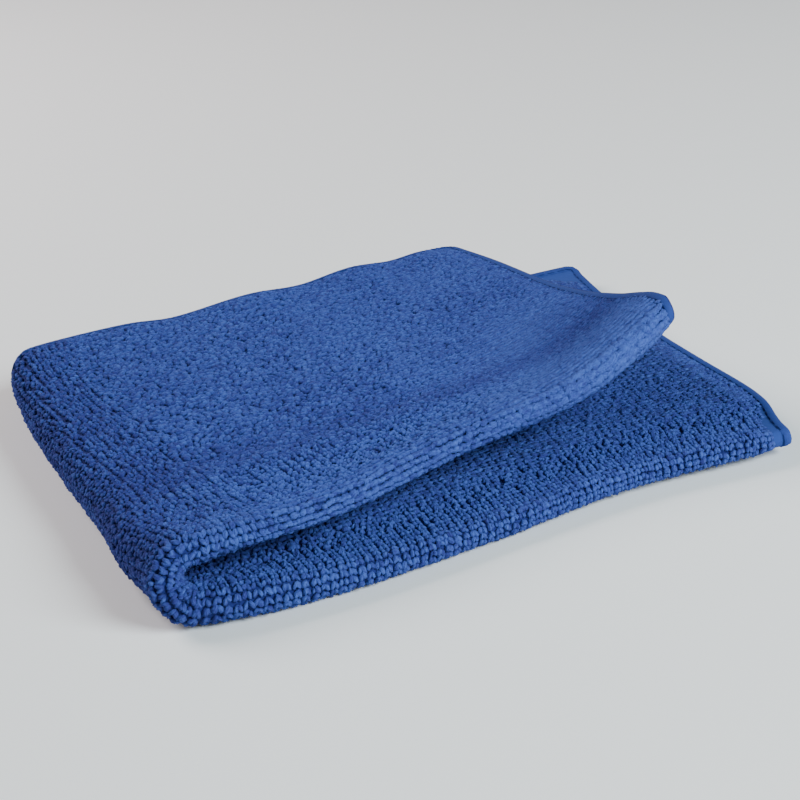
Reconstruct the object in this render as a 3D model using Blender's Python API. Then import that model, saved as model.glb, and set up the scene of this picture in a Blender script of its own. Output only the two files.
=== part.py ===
"""A terry-knit microfibre cloth folded in four, lying on a table.

The square sheet is first folded in half, which makes the long front crease. The doubled band is then
bent over to the right at its middle, which makes the rounded left end. The second fold is a little
skewed, so the upper half swings back and shows a wedge of the lower one, and its free front corner
stands up. X runs along the front edge, Y from the front crease to the open back hems, Z up.
"""
import math

import bmesh
import bpy
from mathutils import Vector

MM = 0.001

# The flat cloth, its ply, the hem that rounds off its edge and the gap between two plies, in millimetres.
SHEET = 300.0
PLY = 2.8
HEM_PLY = 2.2
HEM_ROUND = 0.7
PLY_GAP = 0.5

# The folded band: its lower half lies from the bend to LOWER_END along X, and the second fold is
# skewed, so it leans to the left towards the back. The hems are a little longer than the crease, and
# the inner ply's right hem lies a little behind the outer one's.
LOWER_END = 150.0
LOWER_END_FLARE = 7.4
HEM_STRETCH = 16.0
INNER_HEM_BACK = 3.0
SKEW = math.radians(5.7)
BEND_START = 6.3
BEND_RADIUS_FRONT = 6.2
BEND_RADIUS_BACK = 5.4

# Distances worked out from the above.
CREASE = (PLY_GAP + PLY) / 2
HALF_BAND = PLY_GAP / 2 + PLY
DEPTH = (SHEET - math.pi * CREASE) / 2

# Height of the upper half's middle above the table, one row for each section across it, at these
# distances from the front: the roll along the crease, the trough behind it, the shoulder, the middle
# of the panel and the back hem.
UPPER_DEPTHS = (0.0, 14.0, 32.0, 80.0, DEPTH)
UPPER_SECTIONS = (
    # from bend, roll, trough, shoulder, middle, back
    (25.0, 15.2, 13.8, 13.4, 12.9, 13.2),
    (50.0, 15.6, 13.2, 12.6, 12.0, 12.0),
    (80.0, 17.2, 14.2, 13.0, 11.6, 10.6),
    (110.0, 21.0, 18.5, 16.6, 12.6, 10.0),
    (148.0, 36.5, 35.0, 30.5, 17.0, 9.7),
)

# How far the edges wander from straight, a row for each place along them, fading over EDGE_REACH.
EDGE_REACH = 60.0
FRONT_CREASE = (
    # from the left, lower half back, lower half lifted, upper half back
    (0.0, -2.0, 0.0, 5.0),
    (40.0, -3.5, 0.0, 0.5),
    (75.0, 1.0, 0.0, 6.0),
    (110.0, 6.0, 1.0, 6.5),
    (150.0, 6.0, 2.0, 8.5),
)
SIDES = (
    # from the front, bend outwards, lower right hem outwards, upper right hem outwards
    (0.0, 0.5, 2.5, -2.0),
    (20.0, 2.8, 5.0, -0.5),
    (40.0, 2.8, 4.5, 1.5),
    (80.0, 2.5, 1.0, 5.0),
    (DEPTH, 0.0, -1.5, 6.0),
)
BACK_HEMS = (
    # from the left, upper half forwards
    (0.0, 0.0),
    (110.0, 0.0),
    (150.0, 2.5),
)

# The crease is fuller than the flat plies behind it, most of all at the bend and at the free corner.
SWELL_REACH = 16.0
CREASE_SWELL = (
    # from the left, lower half, upper half
    (0.0, 1.2, 1.2),
    (30.0, 0.5, 0.5),
    (75.0, 0.2, 0.4),
    (150.0, 0.2, 1.3),
)

# How the mesh is divided.
HEM_STEP = 0.02
LOWER_STEPS = 10
BEND_STEPS = 11
UPPER_STEPS = 16
ARC_STEPS = 8
DEPTH_STATIONS = (0.0, 2.5, 5.5, 9.5, 14.0, 20.0, 28.0, 40.0, 56.0, 76.0, 98.0, 120.0, 138.0, DEPTH)


def smooth_table(xs, ys, x):
    """A smooth curve through the points (xs, ys), level at its start, read at x."""
    x = min(max(x, xs[0]), xs[-1])
    k = 0
    while k < len(xs) - 2 and x > xs[k + 1]:
        k += 1

    def slope(i):
        if i == 0:
            return 0.0
        after = min(i + 1, len(xs) - 1)
        return (ys[after] - ys[i - 1]) / (xs[after] - xs[i - 1])

    span = xs[k + 1] - xs[k]
    t = (x - xs[k]) / span
    return (
        (2 * t**3 - 3 * t**2 + 1) * ys[k]
        + (t**3 - 2 * t**2 + t) * span * slope(k)
        + (3 * t**2 - 2 * t**3) * ys[k + 1]
        + (t**3 - t**2) * span * slope(k + 1)
    )


def read_rows(rows, column, x):
    """One column of a table, read at x, which runs along the table's first column."""
    return smooth_table([row[0] for row in rows], [row[column] for row in rows], x)


def fade(distance, reach):
    """1 at an edge, falling smoothly to 0 at reach from it."""
    t = min(max(distance / reach, 0.0), 1.0)
    return 1 - t * t * (3 - 2 * t)


def bend_radius(depth):
    return BEND_RADIUS_FRONT + (BEND_RADIUS_BACK - BEND_RADIUS_FRONT) * depth / DEPTH


def upper_height(from_bend, depth):
    """Height of the upper half's middle, which leaves the bend level and rises to the free corner."""
    stations = [0.0] + [row[0] for row in UPPER_SECTIONS]
    heights = [HALF_BAND + 2 * bend_radius(depth)]
    heights += [smooth_table(UPPER_DEPTHS, row[1:], depth) for row in UPPER_SECTIONS]
    return smooth_table(stations, heights, from_bend)


def swell(from_left, depth, level):
    """How much fuller the crease is than the flat plies, on the lower half (level 0) or the upper (1)."""
    lower = read_rows(CREASE_SWELL, 1, from_left)
    upper = read_rows(CREASE_SWELL, 2, from_left)
    return (lower + (upper - lower) * level) * fade(depth, SWELL_REACH)


def wander(from_left, depth, level):
    """How far the band lies from its straight place, level 0 on its lower half and 1 on its upper."""
    front = fade(depth, EDGE_REACH)
    right = fade(LOWER_END - from_left, EDGE_REACH)
    back = fade(DEPTH - depth, EDGE_REACH)
    bend = read_rows(SIDES, 1, depth) * fade(from_left, EDGE_REACH)
    lower = Vector((
        read_rows(SIDES, 2, depth) * right - bend,
        read_rows(FRONT_CREASE, 1, from_left) * front,
        max(read_rows(FRONT_CREASE, 2, from_left), 0.0) * front,
    ))
    upper = Vector((
        read_rows(SIDES, 3, depth) * right - bend,
        read_rows(FRONT_CREASE, 3, from_left) * front - read_rows(BACK_HEMS, 1, from_left) * back,
        0.0,
    ))
    return lower.lerp(upper, level)


def band_place(run, depth):
    """Where a point of the doubled band lies: how far it is from the left, its level and its middle.

    run is measured along the band from the lower right hem and depth from the front crease."""
    along = Vector((-math.sin(SKEW), math.cos(SKEW), 0.0))
    out = Vector((-math.cos(SKEW), -math.sin(SKEW), 0.0))
    corner = Vector((BEND_START, 0.0, 0.0))
    flat = Vector((LOWER_END - run, depth, 0.0)) - corner
    past = flat.dot(out)
    radius = bend_radius(depth)
    beyond = past - math.pi * radius
    if past <= 0:
        reach, level, height, from_left = past, 0.0, HALF_BAND, BEND_START - past
    elif beyond < 0:
        level = (1 - math.cos(past / radius)) / 2
        reach, from_left = radius * math.sin(past / radius), BEND_START
        height = HALF_BAND + 2 * radius * level
    else:
        reach, level, from_left = -beyond, 1.0, BEND_START + beyond
        height = upper_height(beyond, depth)
    middle = corner + along * flat.dot(along) + out * reach
    middle.z = height
    return from_left, level, middle + wander(from_left, max(depth, 0.0), level)


def band_normal(run, depth):
    """The band's outward normal, which points down under the lower half and up on the upper."""
    step = 0.4
    along = band_place(run + step, depth)[2] - band_place(run - step, depth)[2]
    back = band_place(run, depth + step)[2] - band_place(run, depth - step)[2]
    return along.cross(back).normalized()


def run_at(zone, part, depth):
    """Flat distance along the band at a fraction of its lower half, its bend or its upper half."""
    start = LOWER_END - BEND_START + depth * math.tan(SKEW)
    end = start + math.pi * bend_radius(depth) / math.cos(SKEW)
    flare = LOWER_END_FLARE * depth / DEPTH
    if zone == "lower":
        return start * part - flare * (1 - part)
    if zone == "bend":
        return start + (end - start) * part
    last = SHEET + (HEM_STRETCH - LOWER_END_FLARE) * depth / DEPTH
    return end + (last - end) * part


def sheet_point(zone, part, depth, turn, side):
    """One point of a face of the sheet. turn is 0 on the outer ply, 1 on the inner, and between
    them on the crease; side is half the ply on the outward face and minus half on the inward one."""
    run = run_at(zone, part, depth)
    if zone == "upper":
        run -= INNER_HEM_BACK * turn * part
    from_left, level, _ = band_place(run, depth)
    fuller = swell(from_left, depth, level)
    reach = CREASE + fuller + side
    ahead = depth - reach * math.sin(math.pi * turn)
    middle = band_place(run, ahead)[2] + Vector((0.0, 0.0, fuller * (1 - level)))
    return (middle + band_normal(run, ahead) * reach * math.cos(math.pi * turn)) * MM


def stations_along():
    lower = [("lower", 0.0), ("lower", HEM_STEP)]
    lower += [("lower", HEM_STEP + (1 - HEM_STEP) * k / LOWER_STEPS) for k in range(1, LOWER_STEPS)]
    bend = [("bend", k / BEND_STEPS) for k in range(BEND_STEPS + 1)]
    upper = [("upper", (1 - HEM_STEP) * k / UPPER_STEPS) for k in range(1, UPPER_STEPS + 1)]
    return lower + bend + upper + [("upper", 1.0)]


def stations_across():
    outer = [(depth, 0.0) for depth in reversed(DEPTH_STATIONS)]
    arc = [(0.0, k / ARC_STEPS) for k in range(1, ARC_STEPS)]
    inner = [(depth, 1.0) for depth in DEPTH_STATIONS]
    return outer + arc + inner


def hem_middle(along, across, i, j):
    """The outermost point of the rounded hem, halfway between the two faces of the sheet."""
    inner_i = min(max(i, 1), len(along) - 2)
    inner_j = min(max(j, 1), len(across) - 2)
    edge = sheet_point(*along[i], *across[j], 0.0)
    inner = sheet_point(*along[inner_i], *across[inner_j], 0.0)
    return edge + (edge - inner).normalized() * HEM_ROUND * MM


def move_to_origin(bm):
    """The origin is below the middle of the cloth's box, on the surface it lies on."""
    lows = Vector([min(v.co[axis] for v in bm.verts) for axis in range(3)])
    highs = Vector([max(v.co[axis] for v in bm.verts) for axis in range(3)])
    middle = (lows + highs) / 2
    bmesh.ops.translate(bm, verts=bm.verts, vec=(-middle.x, -middle.y, -lows.z))


def build_cloth():
    along = stations_along()
    across = stations_across()
    last_i, last_j = len(along) - 1, len(across) - 1
    bm = bmesh.new()
    outward = {}
    inward = {}
    for i, (zone, part) in enumerate(along):
        for j, (depth, turn) in enumerate(across):
            at_hem = i in (0, last_i) or j in (0, last_j)
            half = (HEM_PLY if at_hem else PLY) / 2
            outward[i, j] = bm.verts.new(sheet_point(zone, part, depth, turn, half))
            inward[i, j] = bm.verts.new(sheet_point(zone, part, depth, turn, -half))
    for i in range(last_i):
        for j in range(last_j):
            corners = [(i, j), (i + 1, j), (i + 1, j + 1), (i, j + 1)]
            bm.faces.new([outward[k] for k in corners])
            bm.faces.new([inward[k] for k in reversed(corners)])
    ring = [(i, 0) for i in range(last_i)] + [(last_i, j) for j in range(last_j)]
    ring += [(i, last_j) for i in range(last_i, 0, -1)] + [(0, j) for j in range(last_j, 0, -1)]
    hem = {k: bm.verts.new(hem_middle(along, across, *k)) for k in ring}
    for here, there in zip(ring, ring[1:] + ring[:1]):
        bm.faces.new([outward[there], outward[here], hem[here], hem[there]])
        bm.faces.new([hem[there], hem[here], inward[here], inward[there]])
    bmesh.ops.recalc_face_normals(bm, faces=bm.faces)
    move_to_origin(bm)
    mesh = bpy.data.meshes.new("cloth")
    bm.to_mesh(mesh)
    bm.free()
    mesh.shade_smooth()
    cloth = bpy.data.objects.new("cloth", mesh)
    bpy.context.collection.objects.link(cloth)
    return cloth


def microfibre():
    material = bpy.data.materials.new("microfibre")
    material.use_nodes = True
    shader = material.node_tree.nodes["Principled BSDF"]
    shader.inputs["Base Color"].default_value = (0.03, 0.09, 0.28, 1.0)
    shader.inputs["Roughness"].default_value = 0.95
    shader.inputs["Metallic"].default_value = 0.0
    return material


for old in list(bpy.data.objects):
    bpy.data.objects.remove(old)
build_cloth().data.materials.append(microfibre())
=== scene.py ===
import math

import bpy
import numpy as np
from mathutils import Matrix, Vector, noise


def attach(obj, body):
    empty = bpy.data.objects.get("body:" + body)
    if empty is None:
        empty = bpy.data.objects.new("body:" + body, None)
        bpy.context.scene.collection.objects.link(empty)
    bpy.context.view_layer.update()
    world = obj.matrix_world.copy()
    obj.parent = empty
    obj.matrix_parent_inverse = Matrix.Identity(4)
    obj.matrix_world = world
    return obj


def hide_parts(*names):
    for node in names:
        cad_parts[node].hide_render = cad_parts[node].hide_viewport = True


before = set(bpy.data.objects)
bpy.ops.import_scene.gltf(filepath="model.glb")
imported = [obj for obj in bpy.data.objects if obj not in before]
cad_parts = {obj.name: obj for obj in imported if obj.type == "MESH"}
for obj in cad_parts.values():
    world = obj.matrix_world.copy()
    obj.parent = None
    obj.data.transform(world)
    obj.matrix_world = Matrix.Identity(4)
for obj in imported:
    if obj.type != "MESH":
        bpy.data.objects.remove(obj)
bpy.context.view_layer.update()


# The cloth. One square of terry-knit microfibre, cut 300 mm each way. It is folded in half towards the
# back, which makes the front crease, and bent over to the right at its middle, which makes the rounded
# left end. The second fold is askew, and the free corner at the right stands up from the lower half.
MM = 0.001
SHEET = 300.0
PLY = 2.8
PLY_GAP = 0.5
GROUND_OUT = 0.35
GROUND_IN = -1.3
CORNER_RADIUS = 3.5
BARE_LOWER_CORNER = 16.0
BARE_UPPER_CORNER = 9.0
BARE_AT_CREASE = 4.0
BARE_CREASE_FULL = 8.0
BARE_CREASE_REACH = 28.0
BARE_EDGE = 2.0
STATIONS_ALONG = 109
STATIONS_ACROSS_PLY = 46
STATIONS_ROUND_CREASE = 12

LOWER_END = 150.0
LOWER_END_FLARE = 7.4
HEM_STRETCH = 16.0
INNER_HEM_BACK = 3.0
SKEW = math.radians(5.7)
BEND_START = 6.3
BEND_RADIUS_FRONT = 6.2
BEND_RADIUS_BACK = 5.4
ORIGIN = np.array([70.33, 83.69, 0.0])
NEARBY = 0.4

CREASE = (PLY_GAP + PLY) / 2
HALF_BAND = PLY_GAP / 2 + PLY
DEPTH = (SHEET - math.pi * CREASE) / 2
HALF_ARC = math.pi * CREASE / 2

UPPER_DEPTHS = (0.0, 14.0, 32.0, 80.0, DEPTH)
UPPER_SECTIONS = (
    # from bend, roll, trough, shoulder, middle, back
    (25.0, 15.2, 13.8, 13.4, 12.9, 13.2),
    (50.0, 15.6, 13.2, 12.6, 12.0, 12.0),
    (80.0, 17.2, 14.2, 13.0, 11.6, 10.6),
    (110.0, 21.0, 18.5, 16.6, 12.6, 10.0),
    (148.0, 36.5, 35.0, 30.5, 17.0, 9.7),
)
EDGE_REACH = 60.0
FRONT_CREASE = (
    # from the left, lower half back, lower half lifted, upper half back
    (0.0, -0.4, 0.0, 5.0),
    (12.0, -3.3, 0.0, 3.4),
    (40.0, -3.8, 0.0, 0.5),
    (75.0, 1.2, 0.0, 6.0),
    (110.0, 7.2, 0.8, 6.5),
    (150.0, 6.0, 1.4, 8.5),
)
SIDES = (
    # from the front, bend outwards, lower right hem outwards, upper right hem outwards
    (0.0, 0.8, 2.7, -1.3),
    (20.0, 3.6, 6.0, 0.1),
    (40.0, 2.8, 5.8, 1.5),
    (80.0, 3.4, 1.8, 5.0),
    (115.0, 3.0, -0.6, 7.0),
    (DEPTH, 0.4, 0.2, 6.0),
)
BACK_HEMS = (
    # from the left, upper half forwards
    (0.0, 0.0),
    (110.0, 0.0),
    (150.0, 2.5),
)
RELIEF_DEPTHS = (0.0, 12.0, 26.0, 42.0, 65.0, DEPTH)
TOP_RELIEF = (
    # from bend, then at each depth: soft ridges up and troughs down
    (0.0, -0.8, -0.9, -1.0, -1.3, -1.1, -0.6),
    (18.0, -0.2, 0.5, 0.7, -0.7, 0.1, 0.0),
    (50.0, 0.0, 0.5, 0.7, -0.8, -0.2, 0.0),
    (90.0, 0.0, 0.6, 0.2, -1.1, -0.3, 0.0),
    (122.0, 0.2, 0.8, -1.3, -1.1, -0.2, 0.0),
    (138.0, 0.3, 0.4, 0.0, -0.1, 0.0, 0.0),
)
BACK_WAVES_REACH = 34.0
BACK_WAVES = (
    # from bend, upper half higher at its back edge
    (0.0, 2.4),
    (16.0, 1.7),
    (30.0, 1.1),
    (43.0, -0.2),
    (68.0, 1.3),
    (85.0, 0.1),
    (101.0, 1.4),
    (113.0, 0.1),
    (122.0, 0.6),
    (140.0, -0.9),
)
TIP_LIFT = 1.2
TIP_REACH = 6.0
SWELL_REACH = 16.0
CREASE_SWELL = (
    # from the left, lower half, upper half
    (0.0, 1.5, 1.5),
    (14.0, 1.4, 0.8),
    (32.0, 0.8, 0.4),
    (75.0, 0.2, 0.4),
    (150.0, 0.2, 1.3),
)


def curve(xs, ys, x):
    """A smooth curve through the points, level at its start. ys may hold a column for each x."""
    xs = np.array(xs, float)
    ys = np.array(ys, float)
    x = np.clip(x, xs[0], xs[-1])
    if ys.ndim == 1:
        ys = np.repeat(ys[:, None], len(x), axis=1)
    slopes = np.zeros_like(ys)
    for i in range(1, len(xs)):
        after = min(i + 1, len(xs) - 1)
        slopes[i] = (ys[after] - ys[i - 1]) / (xs[after] - xs[i - 1])
    k = np.clip(np.searchsorted(xs, x, side="right") - 1, 0, len(xs) - 2)
    each = np.arange(len(x))
    span = xs[k + 1] - xs[k]
    t = (x - xs[k]) / span
    return (
        (2 * t**3 - 3 * t**2 + 1) * ys[k, each]
        + (t**3 - 2 * t**2 + t) * span * slopes[k, each]
        + (3 * t**2 - 2 * t**3) * ys[k + 1, each]
        + (t**3 - t**2) * span * slopes[k + 1, each]
    )


def read_rows(rows, column, x):
    """A column of a table, read smoothly between its rows."""
    return curve([row[0] for row in rows], [row[column] for row in rows], x)


def fade(distance, reach):
    """1 up to distance 0, falling smoothly to 0 at the reach."""
    t = np.clip(distance / reach, 0.0, 1.0)
    return 1 - t * t * (3 - 2 * t)


def mix(a, b, t):
    return a + (b - a) * t


def bend_radius(depth):
    """The radius that the left bend turns on, a little less towards the back."""
    return BEND_RADIUS_FRONT + (BEND_RADIUS_BACK - BEND_RADIUS_FRONT) * depth / DEPTH


def upper_height(from_bend, depth):
    """How high the middle of the doubled band runs in the upper half."""
    heights = [HALF_BAND + 2 * bend_radius(depth)]
    heights += [curve(UPPER_DEPTHS, row[1:], depth) for row in UPPER_SECTIONS]
    return curve([0.0] + [row[0] for row in UPPER_SECTIONS], heights, from_bend)


def top_relief(from_bend, depth):
    """The soft ridges and troughs of the upper half and the waves of its back edge."""
    heights = [curve(RELIEF_DEPTHS, row[1:], depth) for row in TOP_RELIEF]
    waves = read_rows(BACK_WAVES, 1, from_bend) * fade(DEPTH - depth, BACK_WAVES_REACH)
    return curve([row[0] for row in TOP_RELIEF], heights, from_bend) + waves


def swell(from_left, depth, level):
    """How much fuller the front crease is turned than two flat plies would be."""
    fuller = mix(read_rows(CREASE_SWELL, 1, from_left), read_rows(CREASE_SWELL, 2, from_left), level)
    return fuller * fade(depth, SWELL_REACH)


def wander(from_left, depth, level):
    """How far the band lies from its straight place, level 0 on its lower half and 1 on its upper."""
    front = fade(depth, EDGE_REACH)
    back = fade(DEPTH - depth, EDGE_REACH)
    right = fade(LOWER_END - from_left, EDGE_REACH)
    bend = read_rows(SIDES, 1, depth) * fade(from_left, EDGE_REACH)
    tip = TIP_LIFT * fade(LOWER_END - from_left, TIP_REACH) * fade(DEPTH - depth, TIP_REACH)
    lower = np.stack([
        read_rows(SIDES, 2, depth) * right - bend,
        read_rows(FRONT_CREASE, 1, from_left) * front,
        np.maximum(read_rows(FRONT_CREASE, 2, from_left), 0.0) * front + tip,
    ], axis=1)
    upper = np.stack([
        read_rows(SIDES, 3, depth) * right - bend,
        read_rows(FRONT_CREASE, 3, from_left) * front - read_rows(BACK_HEMS, 1, from_left) * back,
        np.zeros_like(depth),
    ], axis=1)
    return mix(lower, upper, level[:, None])


def band_place(run, depth):
    """Where points of the doubled band lie: how far from the left, their level and their middle."""
    along = np.array([-math.sin(SKEW), math.cos(SKEW)])
    out = np.array([-math.cos(SKEW), -math.sin(SKEW)])
    flat = np.stack([LOWER_END - run - BEND_START, depth], axis=1)
    past = flat @ out
    radius = bend_radius(depth)
    beyond = past - math.pi * radius
    from_bend = np.maximum(beyond, 0.0)
    angle = np.clip(past / radius, 0.0, math.pi)
    level = (1 - np.cos(angle)) / 2
    reach = np.where(past <= 0, past, np.where(beyond < 0, radius * np.sin(angle), -beyond))
    from_left = BEND_START + np.maximum(-past, 0.0) + from_bend
    height = np.where(beyond < 0, HALF_BAND + 2 * radius * level, upper_height(from_bend, depth))
    middle = np.zeros((len(run), 3))
    middle[:, :2] = (flat @ along)[:, None] * along + reach[:, None] * out
    middle[:, 0] += BEND_START
    middle[:, 2] = height + top_relief(from_bend, depth) * level**2
    return from_left, level, middle + wander(from_left, np.maximum(depth, 0.0), level)


def place(x, y, h):
    """Where points of the sheet lie, in millimetres. x runs over the flat cloth from 0 to SHEET along
    the band, y from minus SHEET / 2 at the outer back hem over the crease to the inner back hem, and
    h is the height above the middle of the ply, on the side that faces outwards once folded."""
    depth = np.maximum(np.abs(y) - HALF_ARC, 0.0)
    turn = np.clip(0.5 + y / (2 * HALF_ARC), 0.0, 1.0)
    flare = LOWER_END_FLARE * depth / DEPTH
    last = SHEET + (HEM_STRETCH - LOWER_END_FLARE) * depth / DEPTH - INNER_HEM_BACK * turn
    run = mix(-flare, last, x / SHEET)
    from_left, level, _ = band_place(run, depth)
    fuller = swell(from_left, depth, level)
    reach = CREASE + fuller + h
    ahead = depth - reach * np.sin(math.pi * turn)
    middle = band_place(run, ahead)[2]
    middle[:, 2] += fuller * (1 - level)
    tangent = band_place(run + NEARBY, ahead)[2] - band_place(run - NEARBY, ahead)[2]
    across = band_place(run, ahead + NEARBY)[2] - band_place(run, ahead - NEARBY)[2]
    normal = np.cross(tangent, across)
    normal /= np.linalg.norm(normal, axis=1)[:, None]
    return middle + normal * (reach * np.cos(math.pi * turn))[:, None] - ORIGIN


def round_corners(x, y):
    """Draws the flat cloth's square corners in to a small radius."""
    dx = np.minimum(x, SHEET - x)
    dy = SHEET / 2 - np.abs(y)
    inner = np.hypot(CORNER_RADIUS - dx, CORNER_RADIUS - dy)
    outside = (dx < CORNER_RADIUS) & (dy < CORNER_RADIUS) & (inner > CORNER_RADIUS)
    scale = CORNER_RADIUS / np.maximum(inner, CORNER_RADIUS)
    new_dx = np.where(outside, CORNER_RADIUS - (CORNER_RADIUS - dx) * scale, dx)
    new_dy = np.where(outside, CORNER_RADIUS - (CORNER_RADIUS - dy) * scale, dy)
    return np.where(x < SHEET / 2, new_dx, SHEET - new_dx), np.sign(y) * (SHEET / 2 - new_dy)


def past_bare(x, y):
    """How far in the flat cloth is past the parts that bear no pile, its corners and the right hem of its
    lower half at the crease."""
    corner = np.minimum(x, SHEET - x) + SHEET / 2 - np.abs(y)
    corner = corner - np.where(x < SHEET / 2, BARE_LOWER_CORNER, BARE_UPPER_CORNER)
    by_crease = BARE_AT_CREASE * fade(np.abs(y) - BARE_CREASE_FULL, BARE_CREASE_REACH)
    return np.minimum(corner, x - by_crease)


def make_piece(name, points, faces):
    """A mesh object from points in millimetres and faces that all have the same number of corners."""
    faces = np.asarray(faces, dtype=np.int32)
    corners = faces.shape[1]
    mesh = bpy.data.meshes.new(name)
    mesh.vertices.add(len(points))
    mesh.vertices.foreach_set("co", (np.asarray(points) * MM).astype(np.float32).ravel())
    mesh.loops.add(faces.size)
    mesh.loops.foreach_set("vertex_index", faces.ravel())
    mesh.polygons.add(len(faces))
    mesh.polygons.foreach_set("loop_start", np.arange(0, faces.size, corners, dtype=np.int32))
    mesh.update(calc_edges=True)
    mesh.shade_smooth()
    piece = bpy.data.objects.new(name, mesh)
    bpy.context.collection.objects.link(piece)
    return piece


def add_layer(piece, name, kind, entry, values):
    """A value or a vector at every point of a piece, for its material to read."""
    layer = piece.data.attributes.new(name, kind, "POINT")
    layer.data.foreach_set(entry, values.astype(np.float32).ravel())


def make_sheet():
    """The knitted ground, two skins joined at its rim, with a layer that tells where it bears no pile."""
    xs = np.linspace(0.0, SHEET, STATIONS_ALONG)
    ys = np.concatenate([
        np.linspace(-SHEET / 2, -HALF_ARC, STATIONS_ACROSS_PLY),
        np.linspace(-HALF_ARC, HALF_ARC, STATIONS_ROUND_CREASE)[1:-1],
        np.linspace(HALF_ARC, SHEET / 2, STATIONS_ACROSS_PLY),
    ])
    grid_x, grid_y = (g.ravel() for g in np.meshgrid(xs, ys, indexing="ij"))
    grid_x, grid_y = round_corners(grid_x, grid_y)
    count = len(grid_x)
    points = np.concatenate([
        place(grid_x, grid_y, np.full(count, GROUND_OUT)),
        place(grid_x, grid_y, np.full(count, GROUND_IN)),
    ])
    index = np.arange(count).reshape(len(xs), len(ys))
    quads = np.stack([index[:-1, :-1], index[:-1, 1:], index[1:, 1:], index[1:, :-1]], axis=-1)
    quads = quads.reshape(-1, 4)
    ring = np.concatenate([index[:-1, 0], index[-1, :-1], index[:0:-1, -1], index[0, :0:-1]])
    after = np.roll(ring, -1)
    rim = np.stack([ring, after, after + count, ring + count], axis=-1)
    sheet = make_piece("cloth_sheet", points, np.concatenate([quads, quads[:, ::-1] + count, rim]))
    bare = fade(past_bare(grid_x, grid_y) - BARE_EDGE, BARE_EDGE)
    add_layer(sheet, "bare_selvedge", "FLOAT", "value", np.tile(bare, 2))
    return sheet


class Sock:
    """A shader socket that Python's operators work on."""

    def __init__(self, tree, socket):
        self.tree = tree
        self.socket = socket

    def maths(self, operation, first, second):
        return node(self.tree, "ShaderNodeMath", {"operation": operation}, {0: first, 1: second})

    def __add__(self, other):
        return self.maths("ADD", self, other)

    def __sub__(self, other):
        return self.maths("SUBTRACT", self, other)

    def __rsub__(self, other):
        return self.maths("SUBTRACT", other, self)

    def __mul__(self, other):
        return self.maths("MULTIPLY", self, other)

    __radd__ = __add__
    __rmul__ = __mul__


def node(tree, kind, settings=None, inputs=None, output=0):
    """One shader node, with its settings set first and then its sockets' values or links."""
    made = tree.nodes.new(kind)
    for name, value in (settings or {}).items():
        setattr(made, name, value)
    for name, value in (inputs or {}).items():
        if isinstance(value, Sock):
            tree.links.new(value.socket, made.inputs[name])
        else:
            made.inputs[name].default_value = value
    return Sock(tree, made.outputs[output])


SPECULAR = 0.06
SHEEN = 0.04
PALE_SHEEN = (0.55, 0.7, 1.0, 1.0)


def new_material(name, roughness, sheen_roughness):
    """A soft matt thread or fibre, whose loose ends give it a faint pale sheen."""
    material = bpy.data.materials.new(name)
    material.use_nodes = True
    shader = material.node_tree.nodes["Principled BSDF"]
    shader.inputs["Roughness"].default_value = roughness
    shader.inputs["Specular IOR Level"].default_value = SPECULAR
    shader.inputs["Sheen Weight"].default_value = SHEEN
    shader.inputs["Sheen Roughness"].default_value = sheen_roughness
    shader.inputs["Sheen Tint"].default_value = PALE_SHEEN
    return material, material.node_tree, shader


# The Mix node's colour sockets share their names with its other sockets, so they go by number.
MIX_FACTOR = 0
MIX_FIRST = 6
MIX_SECOND = 7
MIX_COLOUR_OUT = 2


def colour_mix(tree, factor, first, second):
    sockets = {MIX_FACTOR: factor, MIX_FIRST: first, MIX_SECOND: second}
    return node(tree, "ShaderNodeMix", {"data_type": "RGBA"}, sockets, MIX_COLOUR_OUT)


def read_layer(tree, name, output="Fac"):
    return node(tree, "ShaderNodeAttribute", {"attribute_name": name}, output=output)


def noise_at(tree, where, size, detail=2.0, roughness=0.55):
    """Noise with spots of about this size, in the units of the place that it reads."""
    sockets = {"Vector": where, "Scale": 1 / size, "Detail": detail, "Roughness": roughness}
    return node(tree, "ShaderNodeTexNoise", None, sockets)


def thread_noise(tree, size):
    """Noise over the object, with spots of so many millimetres."""
    return noise_at(tree, node(tree, "ShaderNodeTexCoord", output="Object"), size * MM)


def set_colour(tree, shader, colour):
    tree.links.new(colour.socket, shader.inputs["Base Color"])


def set_bump(tree, shader, height, strength, depth):
    """Raises the surface where the height is, to a depth in millimetres."""
    sockets = {"Strength": strength, "Distance": depth * MM, "Height": height}
    tree.links.new(node(tree, "ShaderNodeBump", None, sockets).socket, shader.inputs["Normal"])


# The ground is a deeper navy where the pile stands than at its bare selvedge: painted shade down among the
# tufts, with a random tone for the stitches.
GROUND_DEEP = (0.012, 0.016, 0.10, 1.0)
GROUND_BLUE = (0.022, 0.034, 0.18, 1.0)
SELVEDGE_BLUE = (0.029, 0.059, 0.25, 1.0)
STITCH_SIZE = 1.1
STITCH_DEPTH = 0.3


def ground_material():
    material, tree, shader = new_material("knitted_ground", roughness=0.9, sheen_roughness=0.5)
    stitches = thread_noise(tree, STITCH_SIZE)
    knit = colour_mix(tree, stitches, GROUND_DEEP, GROUND_BLUE)
    # Painted shade: darker navy under the pile, the selvedge's own blue where it bears none.
    set_colour(tree, shader, colour_mix(tree, read_layer(tree, "bare_selvedge"), knit, SELVEDGE_BLUE))
    set_bump(tree, shader, stitches, strength=0.6, depth=STITCH_DEPTH)
    return material


cloth = make_sheet()
cloth.data.materials.append(ground_material())
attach(cloth, "root")
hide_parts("cloth")


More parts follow.
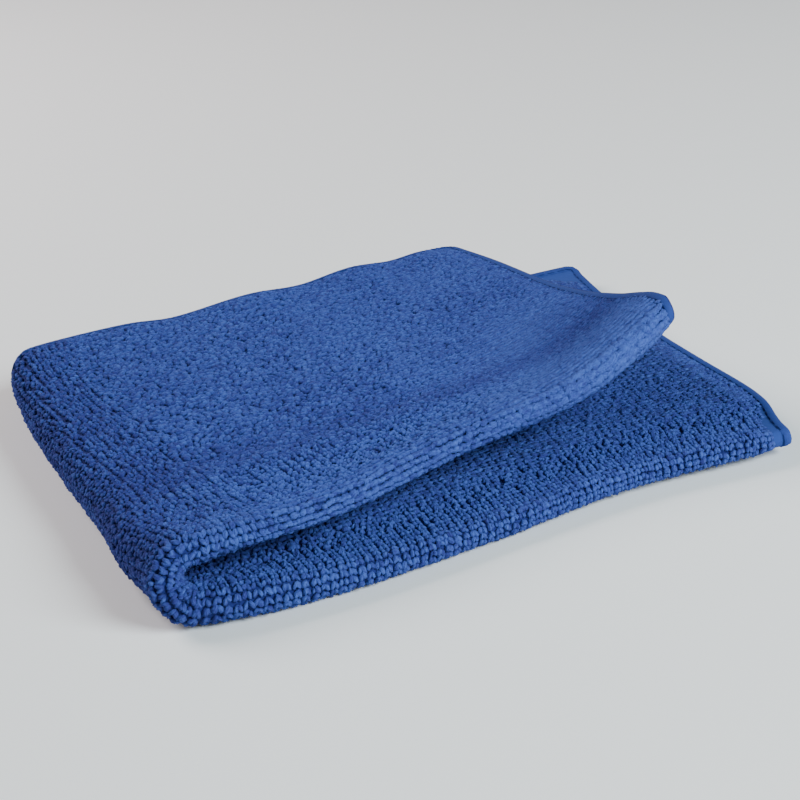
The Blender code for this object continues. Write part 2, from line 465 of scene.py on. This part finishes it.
# The pile. Each stitch of the knit stands up from the ground as a fat V of two split-fibre tufts, in columns
# across the front crease and rows along it. It stands open beside the bend, above the roll and at the lower
# half's front, is rubbed smooth on the roll and on the middle of the lower half, and is matted elsewhere.
COLUMN_PITCH = 2.05
COLUMN_PITCH_AT_BEND = 2.4
BEND_PITCH_EASING = 1.4
COLUMNS_AT = 35.0
ROW_PITCH = 1.75
ROWS_AT = 60.0
LEAST_LEFT_OVER = 0.3
FINE_ALONG = 600
FINE_ACROSS = 1200
PILE_TOP = PLY / 2
PILE_ROOT = 0.1
IN_THE_PILE = PILE_TOP - 0.3
PILE_INSET = 2.3
PILE_INSET_AT_BACK = 2.0

TUFT_WIDE = 1.3
TUFT_LONG = 1.95
UNSEEN_WIDE = 2.3
UNSEEN_LONG = 2.0
TUFT_SIDES = 6
FOOT_SHARE = 0.9
SHOULDER_SHARE = 0.94
SHOULDER = 0.6
RIDGE_END = 0.2


def even_stations(points, flat, pitch):
    """Flat distances whose spacing on the folded surface is the pitch there, with half of it before the
    first."""
    length = np.linalg.norm(np.diff(points, axis=0), axis=1)
    count = np.concatenate([[0.0], np.cumsum(length / ((pitch[1:] + pitch[:-1]) / 2))])
    wanted = np.arange(0.5, count[-1] - LEAST_LEFT_OVER)
    return np.interp(wanted, count, flat)


def pile_layout(tufts_across):
    """Flat places of the tufts, so many to a column, and the line and row that each is in."""
    fine_x = np.linspace(PILE_INSET, SHEET - PILE_INSET, FINE_ALONG)
    spine = place(fine_x, np.full(FINE_ALONG, -HALF_ARC - COLUMNS_AT), np.full(FINE_ALONG, PILE_TOP))
    from_bend = np.minimum(BEND_PITCH_EASING * np.abs(fine_x * 2 / SHEET - 1), 1.0)
    pitch = mix(COLUMN_PITCH_AT_BEND, COLUMN_PITCH, from_bend) / tufts_across
    lines = even_stations(spine, fine_x, pitch)
    fine_y = np.linspace(PILE_INSET_AT_BACK - SHEET / 2, SHEET / 2 - PILE_INSET_AT_BACK, FINE_ACROSS)
    spine = place(np.full(FINE_ACROSS, ROWS_AT), fine_y, np.full(FINE_ACROSS, IN_THE_PILE))
    rows = even_stations(spine, fine_y, np.full(FINE_ACROSS, ROW_PITCH))
    line, row = (g.ravel() for g in np.meshgrid(np.arange(len(lines)), np.arange(len(rows)), indexing="ij"))
    return lines[line], rows[row], line, row


SEEN_PAST_BEND = 16.0
SEEN_IN_HOLLOW = 20.0
SEEN_FRONT_STRIP = 45.0
SEEN_RIGHT_END = 75.0
SEEN_UNDER_ROLL = 16.0
SEEN_AT_CREASE = 8.0


def shows(x, y):
    """Which tufts can be seen from some side: not those under the cloth or deep between its halves."""
    from_crease = np.abs(y) - HALF_ARC
    top = (y < 0) & (x > SHEET / 2 - SEEN_PAST_BEND)
    lower_top = (y > 0) & (x < SHEET / 2) & ((from_crease < SEEN_FRONT_STRIP) | (x < SEEN_RIGHT_END))
    roll_under = (y > 0) & (x >= SHEET / 2 - SEEN_IN_HOLLOW) & (from_crease < SEEN_UNDER_ROLL)
    return top | lower_top | roll_under | (from_crease < SEEN_AT_CREASE)


def tuft_shape():
    """A tuft in a unit box, x across it and y along it: two rings of points, closed below and with a
    short ridge on top."""
    angles = np.arange(TUFT_SIDES) * 2 * math.pi / TUFT_SIDES
    ring = np.stack([0.5 * np.cos(angles), 0.5 * np.sin(angles)], axis=1)
    foot = np.column_stack([ring * FOOT_SHARE, np.zeros(TUFT_SIDES)])
    shoulder = np.column_stack([ring * SHOULDER_SHARE, np.full(TUFT_SIDES, SHOULDER)])
    ridge = np.array([(0.0, RIDGE_END, 1.0), (0.0, -RIDGE_END, 1.0)])
    right, left = TUFT_SIDES, TUFT_SIDES + TUFT_SIDES // 2
    far, near = 2 * TUFT_SIDES, 2 * TUFT_SIDES + 1
    faces = [(0, k + 1, k) for k in range(1, TUFT_SIDES - 1)]
    for k in range(TUFT_SIDES):
        after = (k + 1) % TUFT_SIDES
        faces += [(k, after, after + TUFT_SIDES), (k, after + TUFT_SIDES, k + TUFT_SIDES)]
    for k in range(TUFT_SIDES):
        after = (k + 1) % TUFT_SIDES
        faces.append((k + TUFT_SIDES, after + TUFT_SIDES, far if k < TUFT_SIDES // 2 else near))
    faces += [(left, near, far), (right, far, near)]
    return np.concatenate([foot, shoulder, ridge]), np.array(faces)


UPPER_START = SHEET / 2 + 8.0
BEND_MIDDLE = 2.0
KNOBS_ABOVE_ROLL = 17.0
# Painted light: the upper half's pile is lighter in a band this far behind the front crease.
PAINTED_LIGHT_ROW = 15.0
# Painted shade: the upper half's pile is darker in a trough this far behind the crease, which comes forwards
# where the pile is felted.
TROUGH_ROW = 40.0
TROUGH_FORWARDS = 14.0
ZONES = {
    # zone: full up to this distance from its middle or its edge, gone after so much more
    "lower_half": (0.0, 12.0),
    "beside_bend": (12.0, 16.0),
    "roll_start_light": (0.0, 90.0),
    "left_of_felt": (224.0, 56.0),
    "front_of_felt": (42.0, 40.0),
    "roll": (2.0, 7.0),
    "above_roll": (9.0, 12.0),
    "front_edge": (4.0, 14.0),
    "front_strip": (13.0, 12.0),
    "painted_light_band": (5.0, 10.0),
    "painted_trough_shade": (3.0, 12.0),
    "inner_ply": (1.0, 4.0),
    "by_hollow": (0.0, 50.0),
    "at_crease": (2.0, 8.0),
    "under_roll": (22.0, 24.0),
}

# Noises over the flat cloth: the size of their spots, seed.
PATCHES = (26.0, 5.0)
FLECKS = (6.0, 31.0)
SWIRL = (9.0, 47.0)

FELT_AT_FRONT = 0.45
PATCHES_OPENED = 0.4
PATCHES_RUBBED = 0.3
ROLL_RUBBED = 0.6
WORN_RUBBED = 0.85
EDGE_ORDER = 0.8
ROLL_OVER_BEND = 0.5
PRESSED_REACH = 5.0
PRESSED_LESS_AT_BACK = 1.0


def zone(name, distance):
    full, more = ZONES[name]
    return fade(distance - full, more)


def smooth_noise(x, y, size_and_seed):
    size, seed = size_and_seed
    return np.array([noise.noise(Vector((a / size, b / size, seed))) for a, b in zip(x, y)])


def pile_fields(x, y):
    """How far each state of the pile, and each place of painted light or shade on it, goes at places of the
    flat cloth, mostly from 0 to 1.
    """
    depth = np.abs(y) - HALF_ARC
    past_bend = x - UPPER_START
    patches = smooth_noise(x, y, PATCHES)
    upper = 1 - zone("lower_half", past_bend)
    lower = 1 - upper
    beside_bend = zone("beside_bend", np.abs(past_bend - BEND_MIDDLE))
    in_rows = upper * (1 - beside_bend)
    roll = upper * zone("roll", depth)
    right_end = 1 - zone("left_of_felt", x)
    felt = right_end * mix(FELT_AT_FRONT, 1.0, zone("front_of_felt", depth))
    worn_and_shaded = lower * (1 - beside_bend) * (1 - zone("front_strip", depth))
    above_roll = zone("above_roll", np.abs(depth - KNOBS_ABOVE_ROLL)) * (1 - felt)
    at_edge = mix(zone("front_edge", depth), above_roll, upper)
    knobbed = np.maximum(beside_bend, at_edge)

    opened = np.clip(knobbed + PATCHES_OPENED * patches, 0.0, 1.0)
    smoothed = np.maximum(np.maximum(roll * mix(ROLL_RUBBED, 1.0, felt), felt), WORN_RUBBED * worn_and_shaded)
    rubbed = np.clip(smoothed + PATCHES_RUBBED * patches * (1 - opened), 0.0, 1.0)
    opened = opened * (1 - rubbed)

    from_edge = np.minimum(np.minimum(x, SHEET - x), SHEET / 2 - np.abs(y) + PRESSED_LESS_AT_BACK)
    by_hem = fade(np.minimum(from_edge - PILE_INSET, past_bare(x, y)), PRESSED_REACH)
    worn_and_shaded = worn_and_shaded * (1 - by_hem)
    hollow = lower * zone("by_hollow", LOWER_END - x)
    trough_row = TROUGH_ROW - TROUGH_FORWARDS * felt
    return {
        "opened": opened,
        "matted": 1 - opened - rubbed,
        "rubbed": rubbed,
        "in_rows": in_rows,
        "opened_in_rows": in_rows * opened,
        "knobbed": knobbed * (1 - rubbed),
        "beside_bend": beside_bend,
        "felt": felt,
        "felt_rubbed": felt * rubbed,
        "felt_off_hem": felt * (1 - by_hem) * rubbed,
        # The worn middle of the lower half is rubbed smooth and also painted darker: painted shade under the
        # overhanging roll.
        "worn_and_shaded": worn_and_shaded,
        "worn_rubbed": worn_and_shaded * rubbed,
        "orderly": np.maximum(roll * (1 - felt), EDGE_ORDER * at_edge),
        "by_hem": by_hem,
        "lain_on": lower * (1 - zone("inner_ply", -y)),
        "patches": patches,
        # Painted light on the band behind the front crease.
        "painted_light_band": upper * zone("painted_light_band", np.abs(depth - PAINTED_LIGHT_ROW)),
        # Painted shade in the trough behind the roll.
        "painted_trough_shade": upper * zone("painted_trough_shade", np.abs(depth - trough_row)),
        # Painted light on the roll, towards the bend and at its felted right end.
        "roll_start_light": roll * zone("roll_start_light", past_bend),
        "roll_end_light": roll * felt**3,
        # Painted shade on the bend's face, less where the roll is.
        "bend_face_shade": beside_bend * (1 - ROLL_OVER_BEND * roll),
        # Painted shade in the hollow under the roll, beside the bend and back from the crease.
        "hollow_shade": hollow * (1 - zone("at_crease", depth)) * zone("under_roll", depth),
        # Painted light along the lower half's front edge.
        "lower_edge_light": at_edge * lower,
    }


# The foot column is how dark each tuft is painted towards its foot: painted shade for the gaps among the
# tufts.
TUFT_HABITS = (
    # field, wide, long, stray, uneven, flat, foot, shade's spread
    ("opened", 1.05, 0.95, 0.16, 0.09, 0.0, 1.0, 0.25),
    ("matted", 1.2, 1.1, 0.24, 0.13, 0.0, 0.95, 0.25),
    ("rubbed", 1.18, 1.2, 0.2, 0.04, 0.1, 0.75, 0.25),
    ("opened_in_rows", -0.27, -0.15, 0.0, 0.06, 0.0, 0.0, 0.12),
    ("beside_bend", 0.1, 0.0, 0.0, 0.05, 0.0, 0.0, 0.0),
    ("felt", 0.0, 0.0, 0.0, 0.0, 0.0, 0.0, -0.13),
    ("felt_rubbed", 0.0, 0.0, -0.12, 0.0, 0.1, -0.25, 0.0),
    ("felt_off_hem", 0.62, 0.2, 0.0, 0.0, 0.0, 0.0, 0.0),
    ("worn_rubbed", 0.37, 0.1, -0.08, 0.0, 0.24, 0.0, 0.0),
)
# Apart from the random patches, these rows are painted light and shade: lighter on the band behind the
# crease, on the roll and along the lower half's front edge, darker in the trough, on the bend's face, on the
# worn middle of the lower half and in the hollow under the roll.
SHADES = (
    # field, lighter
    ("patches", 0.2),
    ("painted_light_band", 0.3),
    ("painted_trough_shade", -0.35),
    ("roll_start_light", 0.3),
    ("roll_end_light", 0.35),
    ("bend_face_shade", -0.3),
    ("worn_and_shaded", -0.22),
    ("hollow_shade", -0.5),
    ("lower_edge_light", 0.12),
)
MEAN_SHADE = 0.5
LIGHTEST = 1.2
BRAID_SLANT = math.radians(27.0)
ROW_SLANT = 0.2
DRAWN_TOGETHER = 0.12
KNOBS_DRAWN = 0.7
FULLEST = 1.28
SIZE_SPREAD = 0.12
MEAN_HEIGHT = 0.93
FLECKS_HEIGHT = 0.12
HEIGHT_RANGE = (0.5, 1.12)
LAIN_ON_SHORTER = 0.35
PRESSED_BY_HEM = 0.5
TURN_SPREAD = 0.26
SWIRL_TURN = 0.5
LEAN_SPREAD = 0.22
SWIRL_LEAN = 0.3
FLECKS_LEAN = 0.4
RUBBED_LEANS_LESS = 0.8
ORDER_STRAYS_LESS = 0.6
ORDER_TURNS_LESS = 0.65
ORDER_LEANS_LESS = 0.4


def row_width(x, y):
    """How much of the folded surface a little of the flat cloth takes up, from front to back."""
    top = np.full(len(x), IN_THE_PILE)
    return np.linalg.norm(place(x, y + NEARBY, top) - place(x, y - NEARBY, top), axis=1)


def sum_fields(field, rows, column):
    """A column of a table added up, each row as far as its field goes."""
    return sum(row[column] * field[row[0]] for row in rows)


def tuft_habits(x, y, line, wide, long):
    """How each tuft stands, from the fields where it is and from its own chance."""
    count = len(x)
    field = pile_fields(x, y)
    flecks = smooth_noise(x, y, FLECKS)
    swirl = smooth_noise(x, y, SWIRL)
    wider, longer, stray, uneven, flat, foot, spread = (
        sum_fields(field, TUFT_HABITS, column) for column in range(1, len(TUFT_HABITS[0]))
    )
    in_rows, orderly = field["in_rows"], field["orderly"]
    fuller = np.minimum(row_width(x, y) / row_width(np.full(count, ROWS_AT), y), FULLEST)
    side = np.where(line % 2 == 0, 1.0, -1.0)
    height = MEAN_HEIGHT + uneven * rng.normal(0.0, 1.0, count)
    height = np.clip(height + FLECKS_HEIGHT * flecks * (1 - field["rubbed"]), *HEIGHT_RANGE)
    height = height * mix(1.0, PRESSED_BY_HEM, field["by_hem"]) * (1 - LAIN_ON_SHORTER * field["lain_on"])
    turn = rng.normal(0.0, TURN_SPREAD, count) + SWIRL_TURN * swirl
    slant = mix(side * BRAID_SLANT, math.pi / 2 + ROW_SLANT * side, in_rows)
    stray = stray * (1 - ORDER_STRAYS_LESS * orderly)
    drawn_in = DRAWN_TOGETHER * (1 + flecks) * mix(1.0, KNOBS_DRAWN * field["knobbed"], in_rows)
    lean = 1 - RUBBED_LEANS_LESS * np.maximum(field["rubbed"], field["by_hem"])
    lean = lean * (1 - ORDER_LEANS_LESS * orderly)
    # The tuft's shade: its random patches of tone with painted light and shade added by place.
    shade = MEAN_SHADE + sum_fields(field, SHADES, 1)
    return {
        "x": x + stray * rng.normal(0.0, 1.0, count) + drawn_in * side,
        "y": y + stray * rng.normal(0.0, 1.0, count),
        "yaw": slant + turn * (1 - ORDER_TURNS_LESS * orderly),
        "wide": wide * wider * mix(1.0, fuller, in_rows) * rng.normal(1.0, SIZE_SPREAD, count),
        "long": long * longer * mix(fuller, 1.0, in_rows) * rng.normal(1.0, SIZE_SPREAD, count),
        "flat": flat,
        "tall": (PILE_TOP - PILE_ROOT) * height,
        "lean_x": lean * (rng.normal(0.0, LEAN_SPREAD, count) + SWIRL_LEAN * swirl),
        "lean_y": lean * (rng.normal(0.0, LEAN_SPREAD, count) + FLECKS_LEAN * flecks),
        "shade": np.clip(shade + spread * rng.normal(0.0, 1.0, count), 0.0, LIGHTEST),
        "foot": foot,
    }


TUFT_ROUGH = 0.06
FIBRE_WIDE = 0.42
FIBRE_LONG = 1.3
FIBRES_APART = 500.0
LAYOUT_FILL = 0.9
LAYOUT_TAPER = 0.45
ACROSS_TUFT = 0.3


def flat_layout(local, places, column):
    """Where the tufts' points lie in the flat layout along one of its sides, a cell to each tuft."""
    shrunk = local[:, column] * (1 - LAYOUT_TAPER * local[:, 2])
    cell = places[:, None] - places.min() + 0.5
    return ((cell + LAYOUT_FILL * shrunk) / (places.max() - places.min() + 1)).ravel()


def add_tufts(name, line, row, tuft):
    """A piece of pile: a copy of the tuft at each place, its fibres' lie and its own flat layout kept."""
    local, faces = tuft_shape()
    x, y, count = tuft["x"], tuft["y"], len(line)
    root = np.full(count, PILE_ROOT)
    middle = place(x, y, root)
    across = place(x + ACROSS_TUFT, y, root) - place(x - ACROSS_TUFT, y, root)
    up = place(x, y, root + PLY / 2) - middle
    up /= np.linalg.norm(up, axis=1)[:, None]
    across -= up * np.sum(across * up, axis=1)[:, None]
    across /= np.linalg.norm(across, axis=1)[:, None]
    along = np.cross(up, across)
    cosine, sine = np.cos(tuft["yaw"])[:, None], np.sin(tuft["yaw"])[:, None]
    side_axis = (across * cosine + along * sine) * tuft["wide"][:, None]
    long_axis = (along * cosine - across * sine) * tuft["long"][:, None]
    rise = up * tuft["tall"][:, None] + across * tuft["lean_x"][:, None] + along * tuft["lean_y"][:, None]
    level = local[:, 2] + np.outer(tuft["flat"], local[:, 2] == SHOULDER)
    points = middle[:, None, :] + rise[:, None, :] * level[:, :, None]
    points += side_axis[:, None, :] * local[:, 0, None] + long_axis[:, None, :] * local[:, 1, None]
    points = points.reshape(-1, 3) + rng.normal(0.0, TUFT_ROUGH, (count * len(local), 3))
    points[:, 2] = np.maximum(points[:, 2], 0.0)
    faces = (faces[None, :, :] + (np.arange(count) * len(local))[:, None, None]).reshape(-1, 3)
    piece = make_piece(name, points, faces)

    # Painted shade: each tuft darkens towards its foot, as far as its foot habit says.
    height = 1 - np.outer(tuft["foot"], 1 - local[:, 2])
    lie = np.stack([
        np.outer(tuft["wide"], local[:, 0]).ravel() / FIBRE_WIDE,
        np.outer(tuft["long"], local[:, 1]).ravel() / FIBRE_LONG,
        np.repeat(rng.uniform(0.0, FIBRES_APART, count), len(local)),
    ], axis=1)
    add_layer(piece, "tuft_height", "FLOAT", "value", height)
    # The tuft's shade carries painted light and shade as well as its random tone.
    add_layer(piece, "tuft_shade", "FLOAT", "value", np.repeat(tuft["shade"], len(local)))
    add_layer(piece, "tuft_fibre", "FLOAT_VECTOR", "vector", lie)
    layout = np.stack([flat_layout(local, line, 0), flat_layout(local, row, 1)], axis=1)[faces.ravel()]
    piece.data.uv_layers.new(name="OFBake").uv.foreach_set("vector", layout.astype(np.float32).ravel())
    return piece


# The first colour is painted shade at the tufts' feet, down in the gaps among them; the tips run between the
# other two.
TUFT_FOOT_SHADE = (0.018, 0.020, 0.13, 1.0)
TUFT_BLUE = (0.033, 0.041, 0.21, 1.0)
TUFT_PALE = (0.066, 0.125, 0.46, 1.0)
SHADE_WEIGHT = 0.8
FIBRE_CONTRAST = 3.0
TIP_DARKER = 1.4
FIBRE_DEPTH = 0.6


def pile_material():
    material, tree, shader = new_material("microfibre_pile", roughness=0.9, sheen_roughness=0.5)
    shade = read_layer(tree, "tuft_shade")
    fibres = noise_at(tree, read_layer(tree, "tuft_fibre", "Vector"), 1.0, detail=3.0, roughness=0.7)
    # The tips are paler where the tuft's shade holds painted light and darker where it holds painted shade.
    paleness = shade * SHADE_WEIGHT + fibres * FIBRE_CONTRAST - TIP_DARKER
    tip = colour_mix(tree, paleness, TUFT_BLUE, TUFT_PALE)
    # Painted shade: the colour darkens towards each tuft's foot.
    set_colour(tree, shader, colour_mix(tree, read_layer(tree, "tuft_height"), TUFT_FOOT_SHADE, tip))
    set_bump(tree, shader, fibres, strength=1.0, depth=FIBRE_DEPTH)
    return material


rng = np.random.default_rng(7)
pile_stuff = pile_material()
for name, across, wide, long, pieces in (
    # name, tufts to a column, width and length of a tuft, pieces
    ("pile_outside", 2, TUFT_WIDE, TUFT_LONG, 3),
    ("pile_inside", 1, UNSEEN_WIDE, UNSEEN_LONG, 2),
):
    x, y, line, row = pile_layout(across)
    wanted = (shows(x, y) == (across == 2)) & (past_bare(x, y) > 0)
    for k, part in enumerate(np.array_split(np.flatnonzero(wanted), pieces), 1):
        habits = tuft_habits(x[part], y[part], line[part], wide, long)
        piece = add_tufts(f"{name}_{k}", line[part], row[part], habits)
        piece.data.materials.append(pile_stuff)
        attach(piece, "root")


# The hem. All four edges are overlocked with a soft thread of the cloth's own blue, which wraps the cut
# edge in a low narrow band. A line of lockstitches runs where the pile begins, in a navy that is partly the
# thread's own darker colour and partly painted shade for the dents where it pulls the pile down.
HEM_WIDTH = 2.5
HEM_RIB_PITCH = 1.5
HEM_RIB = 0.04
HEM_ROUGH = 0.02
HEM_SECTION = (
    # in from the edge, height
    (HEM_WIDTH, 0.2),
    (HEM_WIDTH - 0.3, 0.5),
    (1.4, 0.6),
    (0.6, 0.52),
    (0.1, 0.3),
    (-0.15, -0.1),
    (0.1, -0.6),
    (0.7, -0.9),
    (1.5, -1.05),
    (HEM_WIDTH, -1.2),
)
CORNER_STEPS = 8
HEM_BLUE = (0.031, 0.060, 0.26, 1.0)
HEM_DEEP = (0.022, 0.041, 0.185, 1.0)
HEM_THREAD_SIZE = 0.7
HEM_THREAD_DEPTH = 0.2


def hem_path(inset, pitch):
    """Points and inward directions along the flat cloth's edge, its corners rounded."""
    low, high, back = CORNER_RADIUS, SHEET - CORNER_RADIUS, SHEET / 2 - CORNER_RADIUS
    path = []
    for quarter, centre in enumerate(((high, -back), (high, back), (low, back), (low, -back))):
        start = (quarter - 1) * math.pi / 2
        for angle in np.linspace(start, start + math.pi / 2, CORNER_STEPS):
            way = np.array([math.cos(angle), math.sin(angle)])
            path.append(np.concatenate([centre + way * CORNER_RADIUS, -way]))
    path = np.array(path + [path[0]])
    length = np.concatenate([[0.0], np.cumsum(np.linalg.norm(np.diff(path[:, :2], axis=0), axis=1))])
    count = round(length[-1] / pitch)
    at = np.arange(count) * length[-1] / count
    found = np.stack([np.interp(at, length, path[:, i]) for i in range(4)], axis=1)
    found[:, 2:] /= np.linalg.norm(found[:, 2:], axis=1)[:, None]
    found[:, :2] += found[:, 2:] * inset
    return found


def make_overlock():
    """The hem's section carried all round the edge, ribbed by the turns of its thread."""
    edge = hem_path(0.0, HEM_RIB_PITCH / 2)
    rib = HEM_RIB * np.cos(np.arange(len(edge)) * math.pi) + rng.normal(0.0, HEM_ROUGH, len(edge))
    points = []
    for inward, up in HEM_SECTION:
        flat = edge[:, :2] + edge[:, 2:] * inward
        points.append(place(flat[:, 0], flat[:, 1], up + rib * np.sign(up)))
    points = np.stack(points, axis=1)
    index = np.arange(points.shape[0] * points.shape[1]).reshape(points.shape[:2])
    around = np.roll(index, -1, axis=1)
    faces = np.stack([index, np.roll(index, -1, axis=0), np.roll(around, -1, axis=0), around], axis=-1)
    return make_piece("hem_overlock", points.reshape(-1, 3), faces.reshape(-1, 4))


def overlock_material():
    material, tree, shader = new_material("overlock_thread", roughness=0.8, sheen_roughness=0.4)
    threads = thread_noise(tree, HEM_THREAD_SIZE)
    set_colour(tree, shader, colour_mix(tree, threads, HEM_DEEP, HEM_BLUE))
    set_bump(tree, shader, threads, strength=0.4, depth=HEM_THREAD_DEPTH)
    return material


hem = make_overlock()
hem.data.materials.append(overlock_material())
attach(hem, "root")

# The stitch navy is partly the thread's own darker colour and partly painted shade for the dents it makes.
STITCH_NAVY_SHADED = (0.010, 0.019, 0.095, 1.0)
LOCKSTITCH_INSET = 2.0
LOCKSTITCH_PITCH = 3.2
LOCKSTITCH_LONG = 2.4
LOCKSTITCH_WIDE = 0.38
LOCKSTITCH_TOP = 0.78
LOCKSTITCH_SIDES = 6
LOCKSTITCH_RINGS = (-0.5, -0.3, 0.0, 0.3, 0.5)
LOCKSTITCH_TAPER = 1.9
LOCKSTITCH_THREAD_SIZE = 0.5


def make_lockstitches():
    """A short strand for each stitch, of six-sided rings that narrow to both ends."""
    edge = hem_path(LOCKSTITCH_INSET, LOCKSTITCH_PITCH)
    travel = np.stack([edge[:, 3], -edge[:, 2]], axis=1)
    radius = LOCKSTITCH_WIDE / 2
    rings = []
    for share in LOCKSTITCH_RINGS:
        fullness = math.sqrt(1 - (LOCKSTITCH_TAPER * share) ** 2)
        ring = []
        for angle in np.arange(LOCKSTITCH_SIDES) * 2 * math.pi / LOCKSTITCH_SIDES:
            flat = edge[:, :2] + travel * (share * LOCKSTITCH_LONG)
            flat = flat + edge[:, 2:] * (radius * fullness * math.cos(angle))
            rise = LOCKSTITCH_TOP - radius + radius * math.sin(angle) * fullness
            ring.append(place(flat[:, 0], flat[:, 1], np.full(len(flat), rise)))
        rings.append(np.stack(ring, axis=1))
    points = np.stack(rings, axis=1)

    index = np.arange(len(LOCKSTITCH_RINGS) * LOCKSTITCH_SIDES).reshape(-1, LOCKSTITCH_SIDES)
    after = np.roll(index, -1, axis=1)
    faces = np.stack([index[:-1], index[1:], after[1:], after[:-1]], axis=-1).reshape(-1, 4)
    start, end = index[0], index[-1]
    ends = [start[[0, 1, 2, 3]], end[[3, 2, 1, 0]], start[[0, 3, 4, 5]], end[[5, 4, 3, 0]]]
    first = np.arange(len(edge)) * index.size
    faces = np.concatenate([faces, ends])[:, None, :] + first[:, None]
    return make_piece("hem_lockstitch", points.reshape(-1, 3), faces.reshape(-1, 4))


def lockstitch_material():
    material, tree, shader = new_material("lockstitch_thread", roughness=0.8, sheen_roughness=0.4)
    threads = thread_noise(tree, LOCKSTITCH_THREAD_SIZE)
    set_colour(tree, shader, colour_mix(tree, threads, STITCH_NAVY_SHADED, HEM_DEEP))
    return material


stitches = make_lockstitches()
stitches.data.materials.append(lockstitch_material())
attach(stitches, "root")


# The floor. A wide plain surface in a matt pale paint, which the cloth lies on. It only catches the cloth's
# shadow and sends some light back up at it.
FLOOR_SIZE = 12.0
FLOOR_BACK = 3.0
FLOOR_PALE = (0.93, 0.93, 0.93, 1.0)
FLOOR_ROUGHNESS = 0.9

bpy.ops.mesh.primitive_plane_add(size=FLOOR_SIZE, location=(0.0, FLOOR_BACK, 0.0))
floor = bpy.context.object
floor.name = "floor"
floor_paint = bpy.data.materials.new("pale_floor")
floor_paint.use_nodes = True
floor_shader = floor_paint.node_tree.nodes["Principled BSDF"]
floor_shader.inputs["Base Color"].default_value = FLOOR_PALE
floor_shader.inputs["Roughness"].default_value = FLOOR_ROUGHNESS
floor.data.materials.append(floor_paint)


# The light. Round softboxes stand about the cloth: a strong cool one at the front right, a weak one in
# front and a warmer one behind to the left. The room round them is almost dark.
ROOM_LIGHT = (0.95, 0.97, 1.0, 1.0)
ROOM_STRENGTH = 0.07
COOL = (0.84, 0.97, 1.0)
WARM = (1.0, 0.93, 0.93)
SOFTBOX_SIZE = 0.6
SOFTBOX_AWAY = 1.2
SOFTBOXES = (
    # name, watts, colour, degrees round from the front, degrees up
    ("softbox_right", 23.6, COOL, 37.0, 31.0),
    ("softbox_front", 1.5, COOL, 0.0, 20.0),
    ("softbox_back", 15.2, WARM, 220.0, 35.0),
)


def way_to(turn, rise):
    """The way from the cloth to a place so far round to the right from the front and so far up."""
    return Vector((math.sin(turn) * math.cos(rise), -math.cos(turn) * math.cos(rise), math.sin(rise)))


def soft_light(name, watts, colour, turn, rise):
    away = way_to(math.radians(turn), math.radians(rise))
    light = bpy.data.lights.new(name, "AREA")
    light.shape = "DISK"
    light.size = SOFTBOX_SIZE
    light.energy = watts
    light.color = colour
    lamp = bpy.data.objects.new(name, light)
    lamp.location = SOFTBOX_AWAY * away
    lamp.rotation_mode = "QUATERNION"
    lamp.rotation_quaternion = away.to_track_quat("Z", "Y")
    bpy.context.collection.objects.link(lamp)


for softbox in SOFTBOXES:
    soft_light(*softbox)

world = bpy.data.worlds.new("studio")
bpy.context.scene.world = world
world.use_nodes = True
room = world.node_tree.nodes["Background"]
room.inputs["Color"].default_value = ROOM_LIGHT
room.inputs["Strength"].default_value = ROOM_STRENGTH


# The camera. It looks down on the cloth from the front and a little to the left, through a long lens, and
# is turned a little about its own line of sight, as in the photograph.
LENS = 83.25
SENSOR_WIDTH = 36.0
NEAREST = 0.01
AZIMUTH = math.radians(-15.2)
ELEVATION = math.radians(22.9)
ROLL = math.radians(-7.5)
DISTANCE = 0.505
TARGET = Vector((0.01117, 0.00781, 0.0))

back = way_to(AZIMUTH, ELEVATION)
right = Vector((0.0, 0.0, 1.0)).cross(back).normalized()
up = back.cross(right)
rolled_right = right * math.cos(ROLL) + up * math.sin(ROLL)
rolled_up = up * math.cos(ROLL) - right * math.sin(ROLL)
lens = bpy.data.cameras.new("camera")
lens.lens = LENS
lens.sensor_width = SENSOR_WIDTH
lens.clip_start = NEAREST
camera = bpy.data.objects.new("camera", lens)
bpy.context.collection.objects.link(camera)
turned = Matrix((rolled_right, rolled_up, back)).transposed().to_4x4()
camera.matrix_world = Matrix.Translation(TARGET + back * DISTANCE) @ turned
bpy.context.scene.camera = camera
